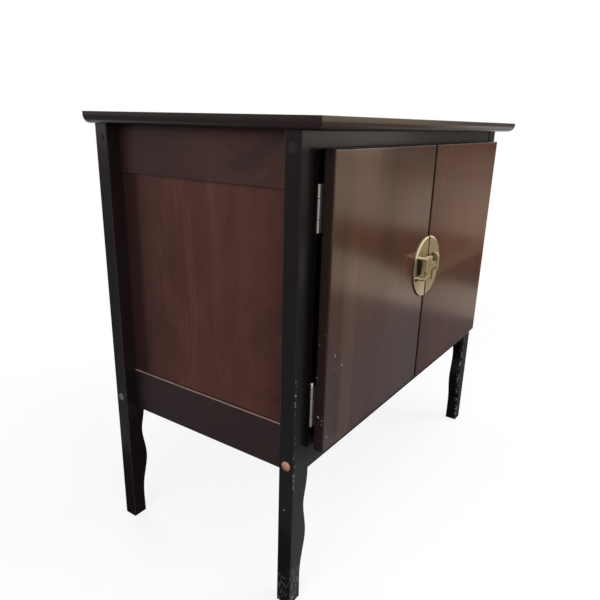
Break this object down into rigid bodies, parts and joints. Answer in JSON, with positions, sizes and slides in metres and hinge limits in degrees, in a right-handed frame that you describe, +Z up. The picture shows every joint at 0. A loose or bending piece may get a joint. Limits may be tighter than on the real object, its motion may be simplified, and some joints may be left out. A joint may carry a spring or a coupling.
{
  "type": "record cabinet",
  "caption": "Low cabinet on scalloped legs with framed sides, hinged overlay doors, a round split brass lock with a sliding bolt, and upright dividers for record sleeves inside.",
  "frame": {"origin": "on the floor, in the middle of the cabinet's footprint, lock and top overhang included", "axes": "+X to the viewer's right along the front, +Y from the doors to the back, +Z up"},
  "size_m": [0.766, 0.4152, 0.7],
  "materials": {
    "ebonized_wood": "ebonized satin lacquer over a close grain, scuffed at the feet",
    "top_wood": "dark brown satin lacquer",
    "side_rail_wood": "dark reddish brown satin lacquer",
    "side_panel_wood": "reddish brown veneer with upright grain, satin",
    "door_wood": "brown veneer with upright grain under a glossy lacquer",
    "inside_wood": "plain oiled hardwood",
    "back_panel_wood": "thin plywood, lightly stained",
    "divider_wood": "thin plywood, sanded",
    "dark_plug_wood": "stained end grain, rubbed grey",
    "bare_plug_wood": "bare end grain",
    "hinge_brass": "polished, lightly tarnished",
    "lock_brass": "polished, lightly tarnished"
  },
  "bodies": {
    "carcass": {"back_bottom_rail": "inside_wood", "back_left_post": "ebonized_wood", "back_panel": "back_panel_wood", "back_right_post": "ebonized_wood", "back_top_rail": "inside_wood", "bare_plug": "bare_plug_wood", "divider_rail": "inside_wood", "floor_board": "inside_wood", "front_bottom_rail": "ebonized_wood", "front_left_post": "ebonized_wood", "front_right_post": "ebonized_wood", "front_top_rail": "ebonized_wood", "left_bottom_side_rail": "side_rail_wood", "left_divider": "divider_wood", "left_floor_cleat": "inside_wood", "left_hinge_pins": "hinge_brass", "left_hinge_post_leaves": "hinge_brass", "left_side_panel": "side_panel_wood", "left_top_side_rail": "side_rail_wood", "middle_divider": "divider_wood", "post_plugs": "dark_plug_wood", "right_bottom_side_rail": "side_rail_wood", "right_divider": "divider_wood", "right_floor_cleat": "inside_wood", "right_hinge_pins": "hinge_brass", "right_hinge_post_leaves": "hinge_brass", "right_side_panel": "side_panel_wood", "right_top_side_rail": "side_rail_wood", "top_board": "top_wood"},
    "left_door": {"left_door": "door_wood", "left_hinge_door_leaves": "hinge_brass", "left_lock_plate": "lock_brass", "bolt_guide": "lock_brass"},
    "right_door": {"right_door": "door_wood", "right_hinge_door_leaves": "hinge_brass", "right_lock_plate": "lock_brass", "bolt_keeper": "lock_brass"},
    "lock_bolt": {"lock_bolt": "lock_brass"},
    "drop_pull": {"drop_pull": "lock_brass"}
  },
  "joints": [
    {"name": "left_door_hinge", "type": "hinge", "parent": "carcass", "child": "left_door", "pos_m": [-0.32825, -0.1681, 0.46633], "axis": [0, 0, -1], "range_deg": [0, 95]},
    {"name": "right_door_hinge", "type": "hinge", "parent": "carcass", "child": "right_door", "pos_m": [0.32825, -0.1681, 0.46633], "axis": [0, 0, 1], "range_deg": [0, 95]},
    {"name": "bolt_slide", "type": "slide", "parent": "left_door", "child": "lock_bolt", "axis": [1, 0, 0], "range_m": [0, 0.015]},
    {"name": "drop_pull_swing", "type": "hinge", "parent": "right_door", "child": "drop_pull", "pos_m": [0.0015, -0.1971, 0.45933], "axis": [0, 1, 0], "range_deg": [-25, 25]}
  ]
}
